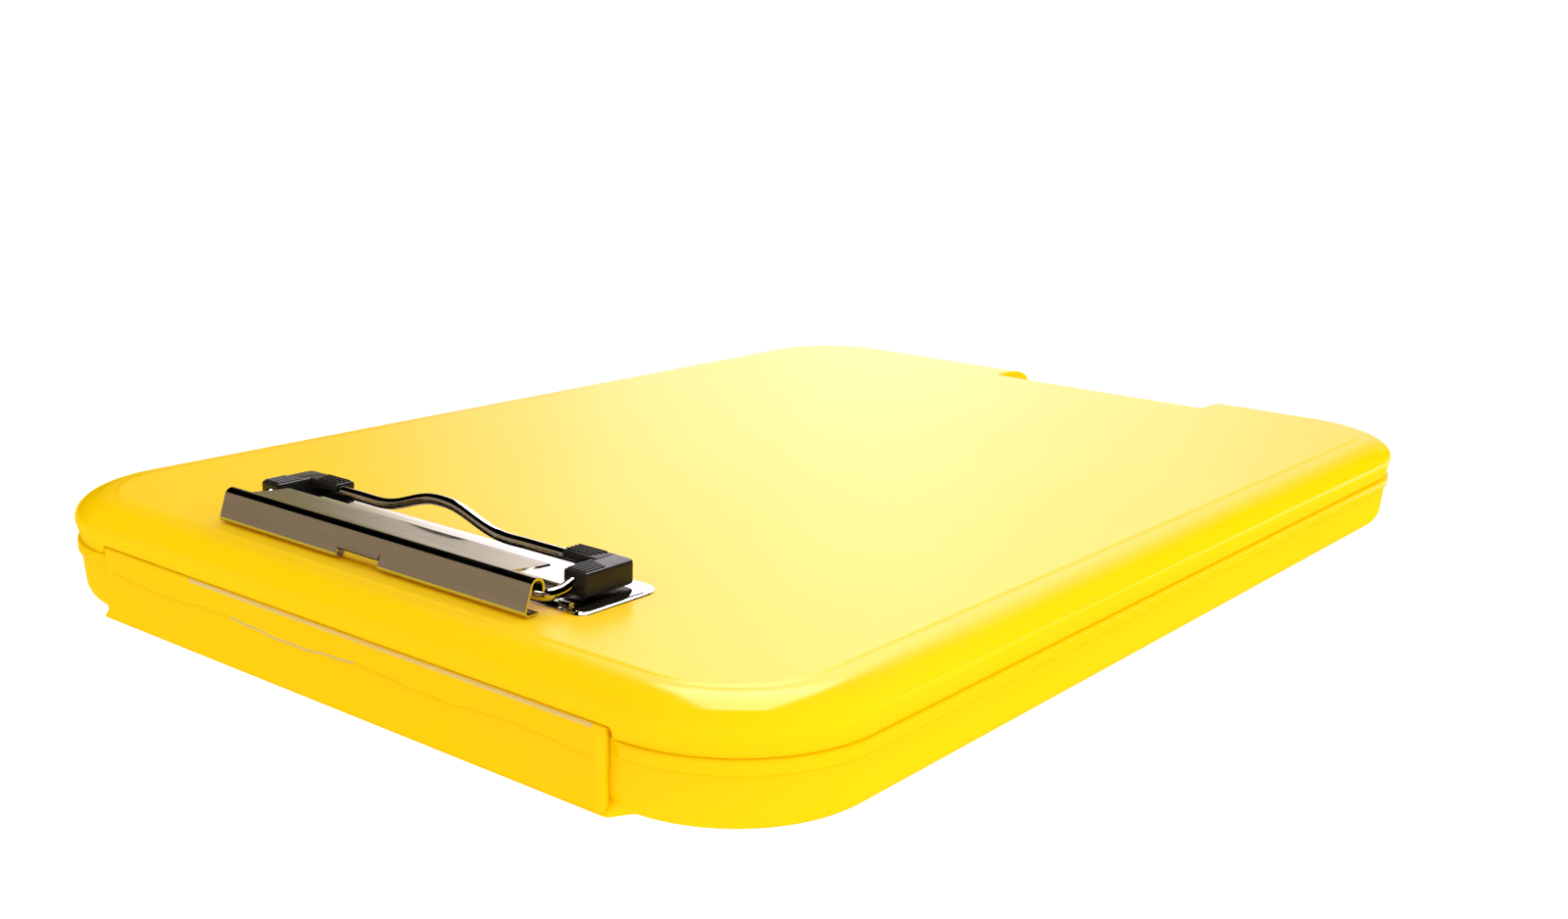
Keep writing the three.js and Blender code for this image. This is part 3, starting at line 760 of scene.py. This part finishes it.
def rounded_outline(corners, radii, steps=8):
    """A closed outline through corners, each rounded by its own radius."""
    outline = []
    count = len(corners)
    for i, (corner, radius) in enumerate(zip(corners, radii)):
        here = Vector(corner)
        before = (Vector(corners[i - 1]) - here).normalized()
        after = (Vector(corners[(i + 1) % count]) - here).normalized()
        if radius == 0:
            outline.append(tuple(here))
            continue
        half_angle = before.angle(after) / 2
        reach = radius / math.tan(half_angle)
        centre = here + (before + after).normalized() * (radius / math.sin(half_angle))
        start = here + before * reach - centre
        end = here + after * reach - centre
        turn = start.angle_signed(end)
        for k in range(steps + 1):
            angle = -turn * k / steps
            cos, sin = math.cos(angle), math.sin(angle)
            outline.append((centre.x + start.x * cos - start.y * sin,
                            centre.y + start.x * sin + start.y * cos))
    return outline


def offset_outline(outline, inset):
    """Moves a closed counter-clockwise outline inwards along its corner normals."""
    count = len(outline)
    result = []
    for i in range(count):
        a, b, c = (Vector(outline[(i + k) % count]) for k in (-1, 0, 1))
        first = (b - a).normalized()
        second = (c - b).normalized()
        normal = Vector((-first.y - second.y, first.x + second.x))
        normal = normal / max(normal.length_squared / 2, 1e-6)
        result.append((b.x + normal.x * inset, b.y + normal.y * inset))
    return result


def cushion(outline, levels):
    """A slab whose outline shrinks by an inset at each level: [(inset, z), ...]."""
    rings = [[(x, y, z) for x, y in offset_outline(outline, inset)] for inset, z in levels]
    return loft(rings)


def add_shape(points, faces, shape):
    """Adds another closed shape to lists of points and faces."""
    start = len(points)
    points.extend(shape[0])
    faces.extend(tuple(start + i for i in face) for face in shape[1])


def extruded_x(outline, x0, x1, rim=0.1):
    """An outline in Y and Z carried along X, with its end edges eased."""
    eased = offset_outline(outline, rim)
    sections = ((x0, eased), (x0 + rim, outline), (x1 - rim, outline), (x1, eased))
    return loft([[(x, y, z) for y, z in section] for x, section in sections])


def sheet_outline(path, thickness):
    """A bent sheet's section from the path of its middle, with rounded ends."""
    left, right = [], []
    for i, here in enumerate(path):
        a = Vector(path[max(i - 1, 0)])
        b = Vector(path[min(i + 1, len(path) - 1)])
        along = (b - a).normalized()
        across = Vector((-along.y, along.x)) * thickness / 2
        left.append(tuple(Vector(here) + across))
        right.append(tuple(Vector(here) - across))
    return right + left[::-1]


def arc_points(centre, radius, start, end, steps):
    """Points along an arc between two angles in degrees."""
    points = []
    for i in range(steps + 1):
        angle = math.radians(start + (end - start) * i / steps)
        points.append((centre[0] + radius * math.cos(angle),
                       centre[1] + radius * math.sin(angle)))
    return points


NOSE_HALF = 46                     # the plate's nose in front of the wire's axis
NOSE_LENGTH = 4.2
EAR_X = 42.2                       # the ears that carry the wire, from the clip's centre
EAR_RADIUS = 2.9
EAR_HALF_WIDTH = 0.6
LUG_REACH = 3.55                   # from the middle of the wire's arm to the lug's middle
LUG_HALF_WIDTH = 1.65
TAB_HALF_WIDTH = 6.8               # of the tab that shows through the cover's notch
TAB_SHEET = 0.6


def make_base_plate():
    """The pressed plate under the wire, with its ears, a lug at each corner and a front tab."""
    bottom = plate_low.z
    top = bottom + PLATE_SHEET
    front, rear = WIRE_PIVOT[0] + 0.9, plate_high.y
    half = (plate_high.x - plate_low.x) / 2
    nose = front - NOSE_LENGTH
    corners = [(-NOSE_HALF, nose), (NOSE_HALF, nose), (NOSE_HALF, front), (half, front),
               (half, rear), (-half, rear), (-half, front), (-NOSE_HALF, front)]
    outline = rounded_outline(corners, [1.2, 1.2, 0.8, 3, 6, 6, 3, 0.8])
    outline = [(CLIP_X + x, y) for x, y in outline]
    points, faces = cushion(outline, [
        (1.5, bottom + 0.12), (0.5, bottom + 0.06), (0.1, bottom), (0, bottom + 0.08),
        (0.05, bottom + 0.16), (0.25, bottom + 0.27), (0.6, bottom + 0.38), (1.1, bottom + 0.5),
        (1.7, bottom + 0.61), (2.4, bottom + 0.71), (3.2, bottom + 0.78), (3.9, top),
    ])
    pivot_y, pivot_z = WIRE_PIVOT
    for side, arm in ((-1, WIRE_ARM_LEFT), (1, WIRE_ARM_RIGHT)):
        x = CLIP_X + side * EAR_X
        ear = [(pivot_y - EAR_RADIUS, bottom + 0.3), (pivot_y + EAR_RADIUS, bottom + 0.3)]
        ear += arc_points((pivot_y, pivot_z), EAR_RADIUS, 0, 180, 24)
        add_shape(points, faces, extruded_x(ear, x - EAR_HALF_WIDTH, x + EAR_HALF_WIDTH, 0.12))
        lug = CLIP_X + side * (arm + LUG_REACH)
        roll = sheet_outline(arc_points((front + 0.75, bottom + 1.2), 0.9, -80, 175, 14), TAB_SHEET)
        add_shape(points, faces, extruded_x(roll, lug - LUG_HALF_WIDTH, lug + LUG_HALF_WIDTH, 0.15))
    tab = [(front - 3.6, bottom + 0.4), (front - 6.6, bottom + 0.42)]
    tab += arc_points((front - 6.7, bottom + 1.3), 0.85, -90, -180, 8)
    tab += [(front - 7.57, bottom + 2.3)]
    middle = CLIP_X + NOTCH_SHIFT
    add_shape(points, faces, extruded_x(sheet_outline(tab, TAB_SHEET), middle - TAB_HALF_WIDTH,
                                        middle + TAB_HALF_WIDTH, 0.1))
    piece = make_piece("clip_base_plate_pressing", points, faces, [CHROME])
    finish_piece(piece, "lid", "clip_chrome", "clip_base_plate")


def make_cover():
    """The spring cover: foot, leaning face, rolled top edge, end curls and a flat plate."""
    foot = cover_low.z
    half_sheet = COVER_SHEET / 2
    roll = (CLIP_FRONT + 3.8, TOP + 6.4)
    radius = 2.1 - half_sheet
    face = [(CLIP_FRONT + 4, foot + half_sheet), (CLIP_FRONT + 1.4, foot + half_sheet)]
    face += arc_points((CLIP_FRONT + 1.15, foot + 1.15), 0.85, 265, 185, 5)
    low, high = Vector(face[-1]), Vector(arc_points(roll, radius, 170, 170, 1)[0])
    face += [tuple(low.lerp(high, share)) for share in (0.06, 0.3, 0.6, 0.94)]
    face += arc_points(roll, radius, 170, 90, 12)
    over = arc_points(roll, radius, 84, 0, 10) + [(roll[0] + radius, TOP + 5.2)]
    crown = roll[1] + radius
    rear = cover_high.y
    plate = [(roll[0] + 1, crown - 0.03), (roll[0] + 3, crown - 0.2),
             (rear - 3, crown - 0.8), (rear - 0.6, crown - 0.9), (rear, crown - 1.05)]
    notch = CLIP_X + NOTCH_SHIFT
    left, right = CLIP_X - COVER_HALF, CLIP_X + COVER_HALF
    plate_left = CLIP_X - COVER_PLATE_HALF - 0.2
    plate_right = CLIP_X + COVER_PLATE_HALF + 0.2
    notch_left, notch_right = notch - NOTCH_HALF, notch + NOTCH_HALF
    above = [(CLIP_FRONT + 0.42, foot + 2.75)] + face[10:]
    bands = [
        (left, plate_left, face + over), (plate_left, notch_left, face + plate),
        (notch_left, notch_right, above + plate), (notch_right, plate_right, face + plate),
        (plate_right, right, face + over),
    ]
    points, faces = [], []
    for start, end, path in bands:
        add_shape(points, faces, extruded_x(sheet_outline(path, COVER_SHEET), start, end, 0.04))
    piece = make_piece("clip_cover_spring", points, faces, [STEEL])
    finish_piece(piece, "lid", "clip_steel", "clip_cover")


def catmull(points, steps):
    """A centripetal Catmull-Rom curve through points."""
    path = [Vector(p) for p in points]
    path = [2 * path[0] - path[1], *path, 2 * path[-1] - path[-2]]
    curve = []
    for i in range(1, len(path) - 2):
        a, b, c, d = path[i - 1:i + 3]
        t1 = (b - a).length ** 0.5
        t2 = t1 + (c - b).length ** 0.5
        t3 = t2 + (d - c).length ** 0.5
        for k in range(steps):
            t = t1 + (t2 - t1) * k / steps
            ab = a.lerp(b, t / t1)
            bc = b.lerp(c, (t - t1) / (t2 - t1))
            cd = c.lerp(d, (t - t2) / (t3 - t2))
            abc = ab.lerp(bc, t / t2)
            bcd = bc.lerp(cd, (t - t1) / (t3 - t1))
            curve.append(abc.lerp(bcd, (t - t1) / (t2 - t1)))
    curve.append(path[-2])
    return curve


EASED_END = ((0.6, 0), (0.9, 0.25), (1, 0.5))  # shares of the radius, and distances from the end


def tube(curve, radius, sides=28):
    """A round tube along a curve, with eased ends and no twist."""
    normal = Vector((0, 0, 1))
    rings = []
    last = len(curve) - 1
    for i, here in enumerate(curve):
        along = (curve[min(i + 1, last)] - curve[max(i - 1, 0)]).normalized()
        normal = (normal - along * normal.dot(along)).normalized()
        across = along.cross(normal)
        stops = [(1, 0)]
        if i == 0:
            stops = EASED_END
        if i == last:
            stops = [(share, -inset) for share, inset in reversed(EASED_END)]
        for share, step in stops:
            size = radius * share
            middle = here + along * step
            rings.append([tuple(middle + normal * size * math.cos(2 * math.pi * s / sides)
                                + across * size * math.sin(2 * math.pi * s / sides))
                          for s in range(sides)])
    return loft(rings)


def wire_end(side, arm):
    """Points of the wire from a pivot end round the corner to the rear run."""
    pivot_y, z0 = WIRE_PIVOT
    run_y, z1 = WIRE_RUN
    points = [
        (WIRE_END_X, pivot_y, z0), (45, pivot_y, z0), (arm - 3, pivot_y, z0),
        (arm - 0.8, pivot_y + 1, z0 + 0.1), (arm, pivot_y + 3.4, z0 + 0.4),
        (arm, run_y - 10.5, z1 - 0.5), (arm, run_y - 5, z1),
        (arm - 0.8, run_y - 1.5, z1), (arm - 3, run_y, z1), (arm - 10, run_y, z1),
    ]
    return [(side * x, y, z) for x, y, z in points]


def wire_curve():
    """The wire's middle line: two ends, two arms and the rear run with its hump."""
    run_y, run_z = WIRE_RUN
    hump = [(-30, 0), (-22, 0), (-17, 0.8), (-7, 3.88), (-3, 4.58)]
    rise = [(HUMP_SHIFT + x, run_y, run_z + up) for x, up in hump]
    fall = [(HUMP_SHIFT - x, run_y, run_z + up) for x, up in reversed(hump)]
    left = wire_end(-1, WIRE_ARM_LEFT)
    right = wire_end(1, WIRE_ARM_RIGHT)[::-1]
    points = left + rise + fall + right
    return catmull([(CLIP_X + x, y, z) for x, y, z in points], 10)


def make_wire():
    """The bail: one bent rod."""
    points, faces = tube(wire_curve(), WIRE_RADIUS)
    piece = make_piece("wire_bail_rod", points, faces, [WIRE])
    finish_piece(piece, "bail", "clip_chrome", "wire_bail")


RIB_PITCH = 1.22                   # of the raised lines on the grips
RIB_WIDTH = 0.68


def make_grip(side, name):
    """A rubber corner: an L-shaped cap with a full-height foot and ribs along both arms."""
    low, high = box_mm(name)
    bottom, top = low.z, high.z
    outer = high.x if side > 0 else low.x
    inner = low.x if side > 0 else high.x
    front, rear = low.y, high.y
    foot_x = outer - side * GRIP_FOOT
    cap_front = rear - GRIP_CAP
    wire_z = WIRE_RUN[1]

    def outline(corners, radii):
        shape = rounded_outline(corners, radii, 5)
        return shape if side > 0 else shape[::-1]

    points, faces = [], []
    corners = [(foot_x, front), (outer, front), (outer, rear), (foot_x, rear)]
    levels = [(1.0, bottom), (0.35, bottom + 0.1), (0.05, bottom + 0.4), (0, bottom + 0.9),
              (0, top - 1.3), (0.06, top - 0.85), (0.25, top - 0.52), (0.55, top - 0.38),
              (1.0, top - 0.35)]
    add_shape(points, faces, cushion(outline(corners, [0.5, 0.6, 1.7, 0.4]), levels))
    corners = [(inner, cap_front), (foot_x + side * 2, cap_front), (foot_x + side * 2, rear),
               (inner, rear)]
    levels = [(0.6, wire_z), (0.1, wire_z + 0.1), (0, wire_z + 0.3), (0, top - 1.1),
              (0.08, top - 0.7), (0.3, top - 0.45), (0.6, top - 0.36), (1, top - 0.35)]
    add_shape(points, faces, cushion(outline(corners, [0.5, 0, 0, 0.5]), levels))
    corners = [(inner + side * 0.2, rear - 2.3), (foot_x + side * 2, rear - 2.3),
               (foot_x + side * 2, rear - 0.1), (inner + side * 0.2, rear - 0.1)]
    levels = [(0.4, bottom), (0.05, bottom + 0.3), (0, bottom + 0.6), (0, wire_z + 0.8),
              (0.3, wire_z + 1)]
    add_shape(points, faces, cushion(outline(corners, [0.3, 0, 0, 0.3]), levels))

    def rib(x0, x1, y0, y1):
        x0, x1 = sorted((x0, x1))
        corners = [(x0, y0), (x1, y0), (x1, y1), (x0, y1)]
        shape = rounded_outline(corners, [0.3] * 4, 3)
        add_shape(points, faces, cushion(shape, [
            (0, top - 0.6), (0, top - 0.28), (0.07, top - 0.1), (0.2, top - 0.02), (0.3, top),
        ]))

    for i in range(5):
        x = foot_x + side * (0.7 + RIB_PITCH * i)
        rib(x, x + side * RIB_WIDTH, front + 0.5, front + 8.2 - 0.35 * i)
    for i in range(4):
        y = rear - 0.7 - RIB_PITCH * i
        rib(inner + side * 0.5, inner + side * (9.6 - 0.4 * i), y - RIB_WIDTH, y)
    piece = make_piece(name + "_rubber", points, faces, [RUBBER], sharp=35)
    finish_piece(piece, "bail", "grip_rubber", name)


def make_rivet(name):
    """A rivet with a domed head on the base plate and a flat tail under the lid's top."""
    low, high = box_mm(name)
    x, y = (low.x + high.x) / 2, (low.y + high.y) / 2
    head_foot = TOP + 2 * GAP + PLATE_SHEET
    tail_top = TOP - WALL - GAP
    reach = high.z - head_foot
    profile = [(0.8, low.z), (2.2, low.z + 0.08), (3.1, low.z + 0.3), (3.55, tail_top - 0.35),
               (3.6, tail_top - 0.1), (3.4, tail_top), (1.6, tail_top), (1.6, head_foot),
               (3.6, head_foot), (3.8, head_foot + 0.12)]
    for i in range(1, 9):
        angle = math.radians(10 * i)
        profile.append((3.8 * math.cos(angle), head_foot + 0.1 + (reach - 0.1) * math.sin(angle)))
    rings = [[(x + r * math.cos(2 * math.pi * s / 40), y + r * math.sin(2 * math.pi * s / 40), z)
              for s in range(40)] for r, z in profile]
    points, faces = loft(rings)
    piece = make_piece(name + "_head", points, faces, [CHROME])
    finish_piece(piece, "lid", "clip_chrome", name)


make_base()
make_lid()
make_spine()
make_latch()
make_base_plate()
make_cover()
make_wire()
make_grip(-1, "grip_left")
make_grip(1, "grip_right")
make_rivet("rivet_left")
make_rivet("rivet_right")
